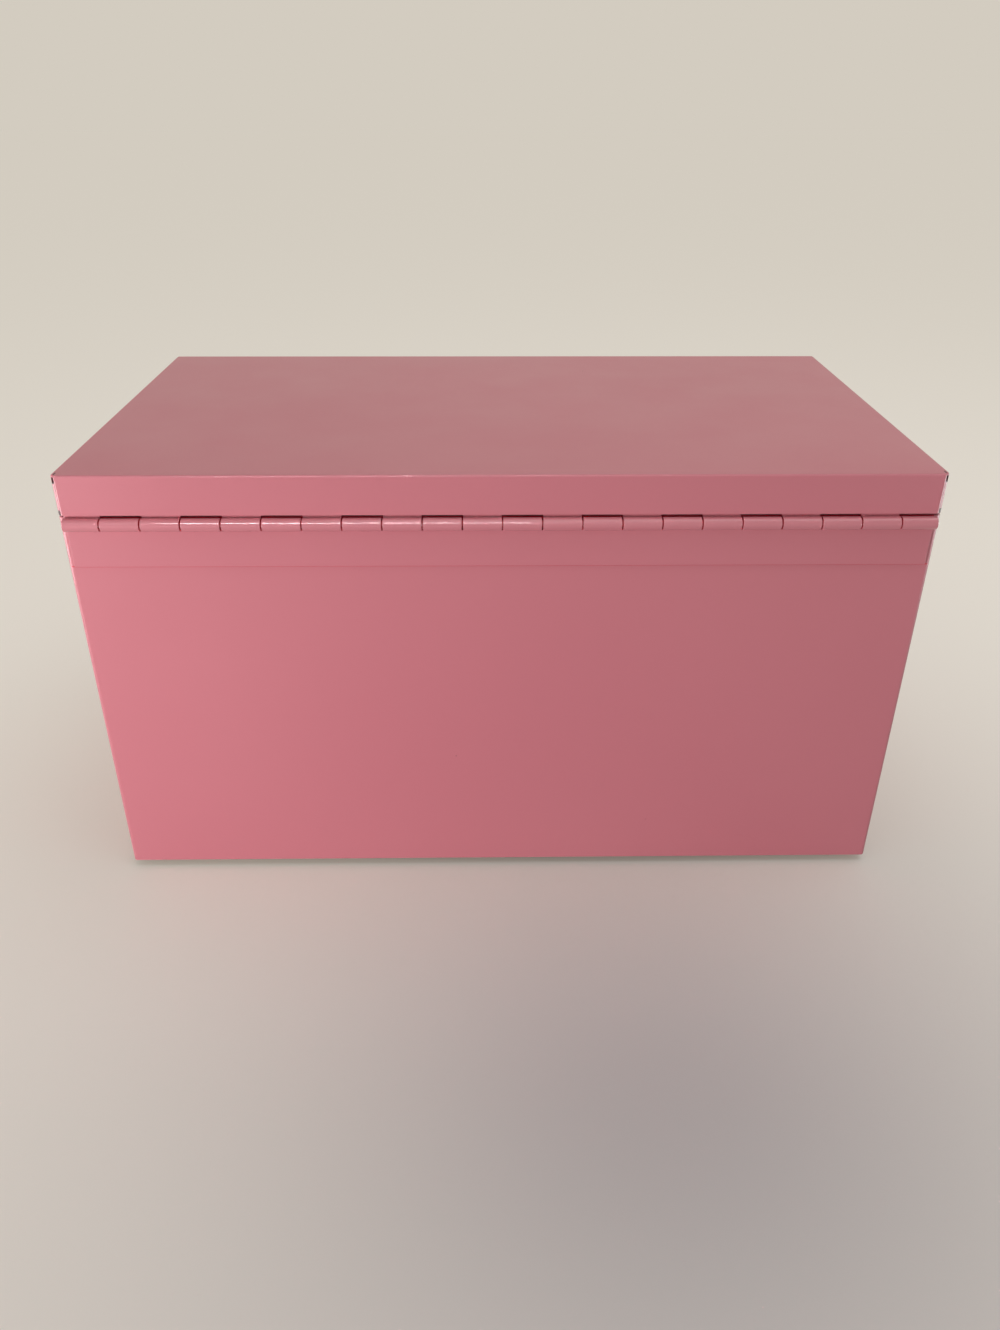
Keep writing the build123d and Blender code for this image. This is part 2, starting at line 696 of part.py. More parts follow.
def drawer(name, low_z):
    """One drawer with its slides: its front's lower edge is at low_z."""
    high_z = low_z + drawer_height
    tray_low_z = low_z + tray_lift
    tray_high_z = tray_low_z + tray_height
    slide_z = tray_low_z + tray_height / 2
    lip_y = front_y + drawer_front_depth - sheet
    screw_z = tray_high_z - tray_hem - front_screw_drop
    screw_places = [-front_screw_spacing / 2, front_screw_spacing / 2]

    with BuildPart() as front:
        block((-drawer_x, front_y, low_z), (drawer_x, front_y + drawer_front_depth, high_z))
        fillet(front.faces().sort_by(Axis.Y)[0].edges(), lid_bend)
        block((-drawer_x + sheet, front_y + sheet, low_z + sheet), (drawer_x - sheet, lip_y, high_z - sheet),
              Mode.SUBTRACT)
        block((-drawer_x + drawer_front_lip, lip_y, low_z + drawer_front_lip),
              (drawer_x - drawer_front_lip, lip_y + sheet, high_z - tray_hem - 3 * front_screw_drop),
              Mode.SUBTRACT)
        for x in screw_places:
            rod((x, lip_y - sheet, screw_z), (0, 1, 0), front_screw_radius + hole_clearance, 3 * sheet,
                Mode.SUBTRACT)
    save(front, f"{name}_drawer_front")

    with BuildPart() as tray:
        with BuildSketch(Plane.XY.offset(tray_low_z)):
            with Locations((0, (tray_front_y + tray_back_y) / 2)):
                Rectangle(2 * tray_x, tray_back_y - tray_front_y)
        extrude(amount=tray_height)
        wall = tray_sheet
        block((-tray_x + 2 * wall, tray_front_y + 2 * wall, tray_high_z - tray_hem),
              (tray_x - 2 * wall, tray_back_y - 2 * wall, tray_high_z), Mode.SUBTRACT)
        block((-tray_x + wall, tray_front_y + wall, tray_low_z + wall),
              (tray_x - wall, tray_back_y - wall, tray_high_z - tray_hem), Mode.SUBTRACT)
        for y in rivet_places:
            rod((-2 * tray_x, y, slide_z), (1, 0, 0), runner_rivet_radius + hole_clearance, 4 * tray_x,
                Mode.SUBTRACT)
        for x in screw_places:
            rod((x, tray_front_y - wall, screw_z), (0, 1, 0), front_screw_radius + hole_clearance, 3 * wall,
                Mode.SUBTRACT)
    save(tray, f"{name}_drawer_tray")

    liner_z = tray_low_z + tray_sheet + fit_gap
    inset = tray_sheet + liner_margin
    with BuildPart() as liner:
        block((-tray_x + inset, tray_front_y + inset, liner_z),
              (tray_x - inset, tray_back_y - inset, liner_z + liner_thickness))
    save(liner, f"{name}_drawer_liner")

    top_z = high_z - pull_drop
    face_y = front_y - fit_gap
    tip_y = front_y - pull_reach
    with BuildPart() as pull:
        with BuildSketch(Plane.YZ.offset(-drawer_x + lid_bend)):
            with BuildLine():
                Polyline(
                    (face_y, top_z),
                    (face_y, top_z - pull_back),
                    (face_y - pull_thickness, top_z - pull_back),
                    (face_y - pull_thickness, top_z - pull_thickness),
                    (tip_y + pull_thickness, top_z - pull_thickness),
                    (tip_y + pull_thickness, top_z - pull_lip),
                    (tip_y, top_z - pull_lip),
                    (tip_y, top_z),
                    close=True,
                )
            make_face()
        extrude(amount=2 * (drawer_x - lid_bend))
        outer_edge = pull.edges().filter_by(Axis.X).filter_by(
            lambda e: e.center().Y < tip_y + edge_round and e.center().Z > top_z - edge_round
        )
        fillet(outer_edge, 2 * pull_thickness - edge_round)
    save(pull, f"{name}_drawer_pull")

    with BuildPart() as screws:
        for x in screw_places:
            rod((x, tray_front_y + tray_sheet + fit_gap, screw_z), (0, 1, 0), front_screw_head_radius,
                front_screw_head)
            rod((x, tray_front_y + tray_sheet + fit_gap, screw_z), (0, -1, 0), front_screw_radius,
                front_screw_reach)
    save(screws, f"{name}_drawer_screws")

    for side, label in ((-1, "left"), (1, "right")):
        with BuildPart() as rail:
            channel(side, slide_z, slide_y, slide_length + fit_gap + sheet, rail_half)
            side_block(side, (inner_x - slide_width, tray_back_y + fit_gap, slide_z - runner_inner),
                       (inner_x, tray_back_y + fit_gap + sheet, slide_z + runner_inner))
        save(rail, f"{name}_{label}_slide_rail")

        with BuildPart() as runner:
            channel(side, slide_z, slide_y, slide_length, runner_half)
            for y in rivet_places:
                rod((0, y, slide_z), (side, 0, 0), runner_rivet_radius + hole_clearance, side_x,
                    Mode.SUBTRACT)
        save(runner, f"{name}_{label}_slide_runner")

        with BuildPart() as cage:
            channel(side, slide_z, slide_middle_y - cage_length / 2, cage_length, cage_half)
            with Locations([(side * (inner_x - ball_depth), y, slide_z) for y in ball_places]):
                Cylinder(ball_radius + ball_clearance, slide_height, mode=Mode.SUBTRACT)
        save(cage, f"{name}_{label}_ball_cage")

        with BuildPart() as balls:
            with Locations([
                (side * (inner_x - ball_depth), y, slide_z + rise)
                for y in ball_places
                for rise in (-ball_rise, ball_rise)
            ]):
                Sphere(ball_radius)
        save(balls, f"{name}_{label}_balls")

    with BuildPart() as rivets:
        for side in (-1, 1):
            inside_x = tray_x - tray_sheet - fit_gap
            outside_x = inner_x - runner_web + fit_gap
            for y in rivet_places:
                rod((side * inside_x, y, slide_z), (-side, 0, 0), runner_rivet_head_radius, runner_rivet_head)
                rod((side * inside_x, y, slide_z), (side, 0, 0), runner_rivet_radius, outside_x - inside_x)
                rod((side * outside_x, y, slide_z), (side, 0, 0), runner_rivet_head_radius,
                    runner_rivet_head)
    save(rivets, f"{name}_runner_rivets")


for level, name in enumerate(("lower", "upper")[:drawer_count]):
    drawer(name, opening_low_z + drawer_gap + level * (drawer_height + drawer_gap))
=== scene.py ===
import json
from math import pi, radians, tau

import bmesh
import bpy
import numpy as np
from mathutils import Euler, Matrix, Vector

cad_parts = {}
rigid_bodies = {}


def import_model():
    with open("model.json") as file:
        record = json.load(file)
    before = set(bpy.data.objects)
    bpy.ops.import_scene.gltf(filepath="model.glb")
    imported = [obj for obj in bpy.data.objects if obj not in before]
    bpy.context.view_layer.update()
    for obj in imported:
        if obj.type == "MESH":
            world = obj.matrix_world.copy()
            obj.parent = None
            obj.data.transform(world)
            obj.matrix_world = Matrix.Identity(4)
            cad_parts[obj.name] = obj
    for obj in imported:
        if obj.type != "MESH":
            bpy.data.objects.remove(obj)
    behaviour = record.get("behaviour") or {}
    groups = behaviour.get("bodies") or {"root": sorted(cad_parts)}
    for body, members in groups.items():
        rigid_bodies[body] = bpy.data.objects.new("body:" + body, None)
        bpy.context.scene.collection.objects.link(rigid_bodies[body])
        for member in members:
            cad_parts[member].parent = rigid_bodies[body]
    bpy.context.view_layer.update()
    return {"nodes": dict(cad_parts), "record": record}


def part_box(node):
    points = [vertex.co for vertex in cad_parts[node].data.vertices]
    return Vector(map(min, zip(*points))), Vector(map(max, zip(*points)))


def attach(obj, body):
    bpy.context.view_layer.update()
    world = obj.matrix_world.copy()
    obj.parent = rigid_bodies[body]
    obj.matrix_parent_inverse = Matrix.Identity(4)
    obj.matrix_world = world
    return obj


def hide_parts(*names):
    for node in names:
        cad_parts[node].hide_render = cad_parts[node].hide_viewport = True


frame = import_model()
bodyOf = {node: body for body, nodes in frame["record"]["behaviour"]["bodies"].items() for node in nodes}
slotOf = {row["node"]: row["material_slot"] for row in frame["record"]["subparts"]}


def colour(red, green, blue):
    # a colour picked on screen, 0 to 255, as the linear values that shaders take (the sRGB curve)
    shares = [value / 255 for value in (red, green, blue)]
    return tuple(s / 12.92 if s <= 0.04045 else ((s + 0.055) / 1.055) ** 2.4 for s in shares) + (1.0,)


# Shader maths

class Wire:
    # one output of a node: arithmetic on it adds Math nodes
    def __init__(self, graph, socket):
        self.graph = graph
        self.socket = socket

    def math(self, operation, left, right=0.0):
        return self.graph.node("Math", {"operation": operation}, {0: left, 1: right})

    def __add__(self, other):
        return self.math("ADD", self, other)

    def __sub__(self, other):
        return self.math("SUBTRACT", self, other)

    def __rsub__(self, other):
        return self.math("SUBTRACT", other, self)

    def __mul__(self, other):
        return self.math("MULTIPLY", self, other)

    def __rpow__(self, other):
        return self.math("POWER", other, self)

    def __abs__(self):
        return self.math("ABSOLUTE", self)

    def __gt__(self, other):
        return self.math("GREATER_THAN", self, other)

    def most(self, other):
        return self.math("MAXIMUM", self, other)

    def within(self, low, high):
        # 1 between low and high, 0 elsewhere
        return (self > low) * (1.0 - (self > high))


class Nodes:
    # the nodes of a material or of the world
    def __init__(self, tree):
        self.tree = tree

    def node(self, kind, settings, inputs, out=0):
        added = self.tree.nodes.new("ShaderNode" + kind)
        for name, value in settings.items():
            setattr(added, name, value)
        for socket, value in inputs.items():
            self.feed(added.inputs[socket], value)
        return Wire(self, added.outputs[out])

    def feed(self, socket, value):
        if isinstance(value, Wire):
            self.tree.links.new(value.socket, socket)
        else:
            socket.default_value = value


class Graph(Nodes):
    # one material, ending in a Principled shader
    def __init__(self, name):
        self.material = bpy.data.materials.new(name)
        self.material.use_nodes = True
        super().__init__(self.material.node_tree)
        self.shader = self.tree.nodes["Principled BSDF"]
        self.place = Wire(self, self.tree.nodes.new("ShaderNodeTexCoord").outputs["Object"])

    def axes(self):
        return [self.node("SeparateXYZ", {}, {0: self.place}, out=axis) for axis in range(3)]

    def blend(self, first, second, share):
        return self.node("Mix", {"data_type": "RGBA"}, {0: share, 6: first, 7: second}, out=2)

    def noise(self, size, detail=2.0, stretch=(1.0, 1.0, 1.0)):
        # soft noise whose patches are about size metres across
        place = self.node("Mapping", {}, {"Vector": self.place, "Scale": stretch})
        return self.node("TexNoise", {}, {"Vector": place, "Scale": 1.0 / size, "Detail": detail})

    def dots(self, cell, reach):
        # 1 within reach metres of scattered points that are about cell metres apart, 0 elsewhere
        far = self.node("TexVoronoi", {}, {"Vector": self.place, "Scale": 1.0 / cell})
        return 1.0 - (far > reach / cell)

    def span(self, share, low, high):
        # from low to high as share goes from 0 to 1
        return self.node("MapRange", {}, {0: share, 1: 0.0, 2: 1.0, 3: low, 4: high})

    def relief(self, height, distance, under=None):
        inputs = {"Height": height, "Distance": distance}
        if under is not None:
            inputs["Normal"] = under
        return self.node("Bump", {}, inputs)

    def finish(self, **values):
        for name, value in values.items():
            self.feed(self.shader.inputs[name.replace("_", " ")], value)
        return self.material


# Pink paint, with painted shade in its seams at the hinge and the lid's corners

enamelLook = {
    "pink": colour(203, 122, 132),
    "deep": colour(197, 114, 125),
    "speck": colour(112, 60, 68),
    "roughness": (0.28, 0.46),
    "cloud": 0.11,  # size of the broad changes of tone
    "smudge": 0.03,  # size of the changes of gloss
    "peel": 0.0016,  # size and depth of the sprayed surface's fine waves
    "peelDepth": 0.000009,
    "sway": 0.08,  # size and depth of the sheet's slow waves
    "swayDepth": 0.00022,
    "speckCell": 0.024,
    "speckReach": 0.00022,
    "speckShare": 0.65,
    "nibDepth": 0.00006,
    "specular": 0.3,
    "coat": 0.2,
    "barrelCoat": 1.0,  # the hinge's barrel is glossier
    "coatRoughness": 0.05,
}

hingeLook = {  # the hinge's strips are too narrow for the sheet's slow waves
    "sway": 0.006,
    "swayDepth": 0.000012,
}

seamLook = {
    # painted shade, deep red, where the hinge's slots and knuckle joints are lit only off other paint
    "gap": colour(205, 22, 50),
    # painted shade, near black, in the lid's rear corner reliefs and along each corner tab's line
    "cut": colour(62, 12, 22),
    "seat": 0.00045,  # height of the painted shadow line under the lower leaf's edge
    "seatShare": 0.7,
    "barrel": 0.0023,  # from the pin's axis to just outside the knuckles' skin
    "core": 0.00195,  # and to just under it
    "slotHigh": 0.0033,  # how far above and below the axis the leaves are cut away, and where their cut edges lie, which get painted shade in deep red
    "slotBehind": (-0.0021, -0.0013),  # and where their cut edges lie
    "rimHigh": 0.0021,  # the outside of the body's rear rim, seen through the slots, painted deep red as shade
    "rimBehind": (-0.00235, -0.00215),
    "skin": 0.00014,
    "cutWide": 0.00125,  # the cuts in the lid's two rear corners, inside the outer skin of its side flanges
    "cutDeep": 0.0030,
    "upperCut": (0.0008, 0.0030),  # down from the lid's top
    "lowerCut": (0.0116, 0.0139),
    "line": (0.00098, 0.00145),  # from the lid's side: the line between a corner tab and the rear flange
    "flange": 0.00082,  # thickness of the rear flange
}


def seams(g):
    # four masks: the hinge's barrel; painted shade in deep red in its joints and slots and on the rim
    # behind them, where paint is lit by other paint alone; painted shade in the lid's rear corner reliefs
    # and along each corner tab's line; and a painted shadow line along the lower leaf's edge
    look = seamLook
    pinLow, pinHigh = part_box("hinge_pin")
    leafLow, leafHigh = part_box("hinge_lower_leaf")
    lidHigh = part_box("lid_shell")[1]
    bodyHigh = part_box("body_shell")[1]
    x, y, z = g.axes()

    behind = y - (pinLow.y + pinHigh.y) / 2
    above = z - (pinLow.z + pinHigh.z) / 2
    squared = behind * behind + above * above
    barrel = 1.0 - (squared > look["barrel"] ** 2)
    core = 1.0 - (squared > look["core"] ** 2)
    slots = above.within(-look["slotHigh"], look["slotHigh"]) * behind.within(*look["slotBehind"])
    rim = above.within(0.0, look["rimHigh"]) * behind.within(*look["rimBehind"])
    ends = abs(x) > leafHigh.x - look["skin"]  # the hinge's end faces stay pink
    # painted shade in deep red inside the knuckles' skin, on the slots' edges and on the rim behind them
    hingeShadeMask = core.most(slots).most(rim) * (1.0 - ends)

    inward = lidHigh.x - abs(x)
    forward = lidHigh.y - y
    down = lidHigh.z - z
    # painted shade in the corner reliefs and along the line between each corner tab and the rear flange
    cornerShadeMask = inward.within(look["skin"], look["cutWide"]) * (1.0 - (forward > look["cutDeep"]))
    cornerShadeMask = cornerShadeMask * down.within(*look["upperCut"]).most(down.within(*look["lowerCut"]))
    tabLineShade = inward.within(*look["line"]) * forward.within(look["flange"], look["cutDeep"])
    tabLineShade = tabLineShade * (1.0 - (down > look["lowerCut"][1]))

    # a painted shadow line along the lower leaf's lower edge, on the outside of the body's back
    seat = (leafLow.z - z).within(0.0, look["seat"]) * (y > bodyHigh.y - look["skin"])
    return barrel, hingeShadeMask, cornerShadeMask.most(tabLineShade), seat


def enamel(name, **changes):
    look = {**enamelLook, **changes}
    g = Graph(name)
    speck = g.dots(look["speckCell"], look["speckReach"])
    barrel, hingeShadeMask, cornerShadeMask, seat = seams(g)
    paint = g.blend(look["pink"], look["deep"], g.noise(look["cloud"], detail=1.0))
    paint = g.blend(paint, look["speck"], speck * look["speckShare"])
    # painted shade, deep red, at the hinge, and a painted shadow line under the lower leaf
    paint = g.blend(paint, seamLook["gap"], hingeShadeMask.most(seat * seamLook["seatShare"]))
    # painted shade, near black, in the lid's rear corner reliefs
    paint = g.blend(paint, seamLook["cut"], cornerShadeMask)
    coat = (barrel * (look["barrelCoat"] - look["coat"]) + look["coat"]) * (1.0 - hingeShadeMask.most(cornerShadeMask))
    rough = g.span(g.noise(look["smudge"]), *look["roughness"])
    sway = g.relief(g.noise(look["sway"], detail=0.0), look["swayDepth"])
    peel = g.relief(g.noise(look["peel"], detail=1.0), look["peelDepth"], sway)
    nibs = g.relief(speck, look["nibDepth"], peel)
    return g.finish(Base_Color=paint, Roughness=rough, Normal=nibs, Specular_IOR_Level=look["specular"],
                    Coat_Weight=coat, Coat_Roughness=look["coatRoughness"])


# Metals, rubber and vinyl

metalLook = {
    "smear": 0.018,  # size of the smears that change the gloss
    "cloud": 0.010,
    "grainDepth": 0.000003,
    "zincPlate": {"bright": colour(200, 202, 206), "dull": colour(168, 171, 177),
                  "roughness": (0.28, 0.48), "grain": 0.0012, "stretch": (1.0, 1.0, 1.0)},
    "bearingSteel": {"bright": colour(216, 216, 219), "dull": colour(192, 192, 196),
                     "roughness": (0.04, 0.14), "grain": 0.002, "stretch": (1.0, 1.0, 1.0)},
    "chromePlate": {"bright": colour(224, 225, 228), "dull": colour(208, 209, 213),
                    "roughness": (0.03, 0.13), "grain": 0.003, "stretch": (1.0, 1.0, 1.0)},
    "satinAluminium": {"bright": colour(208, 209, 212), "dull": colour(192, 193, 197),  # brushed along x
                       "roughness": (0.28, 0.46), "grain": 0.0003, "stretch": (0.02, 1.0, 1.0)},
}

rubberLook = {
    "cloud": 0.016,
    "blackRubber": {"shade": colour(33, 33, 35), "dusty": colour(52, 52, 54),
                    "roughness": (0.62, 0.80), "grain": 0.0007, "grainDepth": 0.00003},
    "blackVinyl": {"shade": colour(25, 25, 27), "dusty": colour(40, 40, 42),
                   "roughness": (0.34, 0.48), "grain": 0.0009, "grainDepth": 0.00002},
}


def plated(name):
    look = metalLook[name]
    g = Graph(name)
    fine = g.noise(look["grain"], detail=3.0, stretch=look["stretch"])
    smear = g.noise(metalLook["smear"])
    rough = g.span(fine * 0.5 + smear * 0.5, *look["roughness"])
    tone = g.blend(look["bright"], look["dull"], g.noise(metalLook["cloud"]))
    grain = g.relief(fine, metalLook["grainDepth"])
    return g.finish(Base_Color=tone, Metallic=1.0, Roughness=rough, Normal=grain)


def moulded(name):
    look = rubberLook[name]
    g = Graph(name)
    fine = g.noise(look["grain"], detail=3.0)
    rough = g.span(fine, *look["roughness"])
    tone = g.blend(look["shade"], look["dusty"], g.noise(rubberLook["cloud"], detail=3.0))
    grain = g.relief(fine, look["grainDepth"])
    return g.finish(Base_Color=tone, Roughness=rough, Normal=grain)


finishes = {
    "pink_paint": enamel("pinkEnamel"),
    "zinc_plate": plated("zincPlate"),
    "bearing_steel": plated("bearingSteel"),
    "chrome_plate": plated("chromePlate"),
    "satin_aluminium": plated("satinAluminium"),
    "black_rubber": moulded("blackRubber"),
    "black_grip": moulded("blackVinyl"),
}
hingeEnamel = enamel("hingeEnamel", **hingeLook)
print("finishes:", ", ".join(finishes))


# CAD pieces with their sheet edges rounded

edgeLook = {
    "segments": 2,
    "sharperThan": radians(32),
    "flatWithin": radians(0.4),
    "mergeWithin": 0.000001,
    "radius": 0.00022,
    "finer": {  # radius by a word in the node's name
        "hinge_lower_leaf": 0.00043,
        "hinge_upper_leaf": 0.00043,
        "hinge_pin": 0.0004,
        "lock_plug": 0.0001,
        "ball_cage": 0.00005,
        "balls": 0.0,
        "slide_r": 0.00012,  # slide rails and runners
    },
}


def camel(node):
    first, *rest = node.split("_")
    return first + "".join(word.capitalize() for word in rest)


def settle(piece, node):
    # gives a piece the finish, the body and the place in the model of the node that it stands for
    finish = hingeEnamel if "hinge" in node else finishes[slotOf[node]]
    piece.data.materials.append(finish)
    bpy.context.scene.collection.objects.link(piece)
    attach(piece, bodyOf[node])
    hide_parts(node)


def soften(node):
    # the node's own triangles, merged and with flat faces joined, then a small round on each sharp edge
    look = edgeLook
    shape = bmesh.new()
    shape.from_mesh(frame["nodes"][node].data)
    bmesh.ops.remove_doubles(shape, verts=shape.verts, dist=look["mergeWithin"])
    bmesh.ops.dissolve_limit(shape, angle_limit=look["flatWithin"], verts=shape.verts, edges=shape.edges)
    mesh = bpy.data.meshes.new(camel(node))
    shape.to_mesh(mesh)
    shape.free()
    mesh.shade_smooth()
    piece = bpy.data.objects.new(camel(node), mesh)
    settle(piece, node)
    radius = next((size for word, size in look["finer"].items() if word in node), look["radius"])
    if radius > 0:
        rounded = piece.modifiers.new("rounded", "BEVEL")
        rounded.limit_method = "ANGLE"
        rounded.angle_limit = look["sharperThan"]
        rounded.width = radius
        rounded.segments = look["segments"]
        flat = piece.modifiers.new("flat", "WEIGHTED_NORMAL")  # large faces keep their shade up to the edge
        flat.keep_sharp = True


# Surfaces on a grid of two parameters

gridLook = {
    "mergeWithin": 0.0000001,
    "sharperThan": radians(38),
}


def skinOf(points):
    # corners and four-sided faces of a surface whose points[i, j] is its place at step i along and j around
    rows, columns, _ = points.shape
    spot = np.arange(rows * columns).reshape(rows, columns)
    faces = np.stack([spot[:-1, :-1], spot[1:, :-1], spot[1:, 1:], spot[:-1, 1:]], axis=-1)
    return points.reshape(-1, 3), faces.reshape(-1, 4)


def buildPiece(node, surfaces):
    # one piece from several closed surfaces, its seams and poles merged and its faces turned outwards
    corners, faces, count = [], [], 0
    for points in surfaces:
        spots, quads = skinOf(points)
        corners.append(spots)
        faces.append(quads + count)
        count += len(spots)
    mesh = bpy.data.meshes.new(camel(node))
    mesh.from_pydata(np.concatenate(corners).tolist(), [], np.concatenate(faces).tolist())
    shape = bmesh.new()
    shape.from_mesh(mesh)
    bmesh.ops.remove_doubles(shape, verts=shape.verts, dist=gridLook["mergeWithin"])
    bmesh.ops.recalc_face_normals(shape, faces=shape.faces)
    shape.to_mesh(mesh)
    shape.free()
    mesh.shade_smooth()
    mesh.set_sharp_from_angle(angle=gridLook["sharperThan"])
    settle(bpy.data.objects.new(camel(node), mesh), node)


def turned(along, radius, start, axis, steps, carve=None):
    # a profile carried round an axis: start + a * axis + r * (cos(t) * across + sin(t) * up), where a loses
    # what carve says at the point (r * cos(t), r * sin(t)) of the profile's height a; the radius is one
    # number for each a, or for each a and t
    axis = np.array(axis, float)
    across = np.roll(axis, 1)
    up = np.cross(axis, across)
    a, t = np.meshgrid(along, np.linspace(0.0, tau, steps + 1), indexing="ij")
    r = np.broadcast_to(np.array(radius)[:, None], a.shape) if np.ndim(radius) == 1 else radius
    x, y = r * np.cos(t), r * np.sin(t)
    if carve is not None:
        a = a - carve(x, y, a)
    return np.array(start) + a[..., None] * axis + x[..., None] * across + y[..., None] * up


def dome(low, high, radius, rows):
    # a shallow round top: its height is low + (high - low) * cos(s) where its width is radius * sin(s),
    # with s from a quarter turn to 0
    s = np.linspace(pi / 2, 0.0, rows)
    return low + (high - low) * np.cos(s), radius * np.sin(s)


# Rivets

rivetLook = {
    "edge": 0.00016,  # the straight edge under a head's dome
    "shank": 0.0015,
    "rows": 14,
    "steps": 48,
    "handle_rivets": {"length": 0.0043, "height": 0.0008},
    "lower_runner_rivets": {"length": 0.00325, "height": 0.0007},
    "upper_runner_rivets": {"length": 0.00325, "height": 0.0007},
}


def rivet(start, axis, height, radius, length):
    # a shank between two domed heads, turned about the axis that runs from the inner head to the outer one
    edge, shank, rows = rivetLook["edge"], rivetLook["shank"], rivetLook["rows"]
    outerAlong, outerRadius = dome(length - height + edge, length, radius, rows)
    innerAlong, innerRadius = dome(height - edge, 0.0, radius, rows)
    along = [*innerAlong[::-1], height, height, length - height, length - height, *outerAlong]
    reach = [*innerRadius[::-1], radius, shank, shank, radius, *outerRadius]
    return turned(along, reach, start, axis, rivetLook["steps"])


def makeRivets(node):
    # two rivets in each side of the chest, their outer heads as far out as the node reaches
    low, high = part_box(node)
    radius = (high.z - low.z) / 2
    middle = (low.z + high.z) / 2
    length, height = rivetLook[node]["length"], rivetLook[node]["height"]
    buildPiece(node, [
        rivet((side * (high.x - length), y, middle), (side, 0, 0), height, radius, length)
        for side in (-1, 1) for y in (low.y + radius, high.y - radius)
    ])


# Screws with a cross recess

screwLook = {
    "dome": 0.35,  # share of the head's height that is domed
    "slotWidth": 0.30,  # shares of the head's radius
    "slotReach": 0.62,
    "slotSoft": 0.07,
    "slotTaper": 4,  # the slots' ends are this many times softer than their sides
    "slotDepth": 0.60,  # share of the head's height
    "rows": 40,
    "steps": 96,
    "foot": {"shank": 0.00145, "height": 0.0012, "radius": 0.0028},
    "drawer": {"shank": 0.0015, "height": 0.0010},
    "cam": {"shank": 0.0015, "height": 0.0014},
}


def screw(kind, start, axis, length, radius):
    # from its tip along the axis to a domed head, from which carve takes two crossed slots: their depth
    # times a share that falls from 1 to 0 at the slots' sides, and times one that falls to 0 at their ends
    look = screwLook
    shank, height = look[kind]["shank"], look[kind]["height"]
    base = length - height
    crown = look["dome"] * height
    slotWidth, slotReach = look["slotWidth"] * radius, look["slotReach"] * radius
    soft, depth = look["slotSoft"] * radius, look["slotDepth"] * height
    domeAlong, domeRadius = dome(length - crown, length, radius, look["rows"])

    def carve(x, y, a):
        near, far = np.minimum(abs(x), abs(y)), np.maximum(abs(x), abs(y))
        acrossSlot = np.clip((slotWidth / 2 - near) / soft + 0.5, 0.0, 1.0)
        alongSlot = np.clip((slotReach - far) / (look["slotTaper"] * soft) + 0.5, 0.0, 1.0)
        return np.where(a > length - crown, depth * acrossSlot * alongSlot, 0.0)

    along = [0.0, 0.0, base, base, length - crown, *domeAlong]
    reach = [0.0, shank, shank, radius, radius, *domeRadius]
    return turned(along, reach, start, axis, look["steps"], carve)


def makeFootScrews(node):
    low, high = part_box(node)
    radius = screwLook["foot"]["radius"]
    buildPiece(node, [
        screw("foot", (x, y, high.z), (0, 0, -1), high.z - low.z, radius)
        for x in (low.x + radius, high.x - radius) for y in (low.y + radius, high.y - radius)
    ])


def makeDrawerScrews(node):
    low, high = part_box(node)
    radius = (high.z - low.z) / 2
    middle = (low.z + high.z) / 2
    buildPiece(node, [
        screw("drawer", (x, low.y, middle), (0, 1, 0), high.y - low.y, radius)
        for x in (low.x + radius, high.x - radius)
    ])


def makeCamScrew(node):
    low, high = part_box(node)
    radius = (high.z - low.z) / 2
    middle = (low.z + high.z) / 2
    buildPiece(node, [screw("cam", (0, low.y, middle), (0, 1, 0), high.y - low.y, radius)])


# Lock barrel with its thread

barrelLook = {
    "bezel": 0.0018,
    "bezelEdge": 0.0005,
    "bezelRows": 8,
    "thread": 0.0070,
    "bore": 0.00465,
    "pitch": 0.0010,
    "depth": 0.00035,
    "plain": 0.0010,  # unthreaded length behind the bezel
    "rowsPerTurn": 8,
    "steps": 64,
}


def makeLockBarrel(node):
    # a bezel with a rounded edge: a = edge * (1 - sin(s)) and r = bezelRadius - edge * (1 - cos(s)),
    # then a helical thread: r = thread - depth * (0.5 - 0.5 * cos(2 * pi * a / pitch - t))
    low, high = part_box(node)
    look = barrelLook
    bore, thread, edge = look["bore"], look["thread"], look["bezelEdge"]
    bezelRadius = (high.z - low.z) / 2
    middle = (low.z + high.z) / 2
    length = high.y - low.y
    s = np.linspace(0.0, pi / 2, look["bezelRows"])
    faceAlong = edge * (1 - np.sin(s))
    faceRadius = bezelRadius - edge * (1 - np.cos(s))
    threadAlong = np.arange(look["bezel"], length, look["pitch"] / look["rowsPerTurn"])
    threadRadius = np.full(len(threadAlong), thread)
    along = np.concatenate([[0.0], faceAlong[::-1], [look["bezel"]], threadAlong, [length, length, 0.0]])
    radius = np.concatenate([[bore], faceRadius[::-1], [bezelRadius], threadRadius,
                             [thread - look["depth"], bore, bore]])
    a, t = np.meshgrid(along, np.linspace(0.0, tau, look["steps"] + 1), indexing="ij")
    groove = look["depth"] * (0.5 - 0.5 * np.cos(tau * a / look["pitch"] - t))
    threaded = (radius == thread)[:, None] & (a > look["bezel"] + look["plain"])
    reach = radius[:, None] - np.where(threaded, groove, 0.0)
    buildPiece(node, [turned(along, reach, (0, low.y, middle), (0, 1, 0), look["steps"])])


# Handle grips

gripLook = {
    "bore": 0.00205,
    "rib": 0.0024,  # from one rib to the next
    "ribDepth": 0.00045,
    "bareEnd": 0.0022,
    "endRound": 0.0012,
    "rows": 150,
    "steps": 56,
}


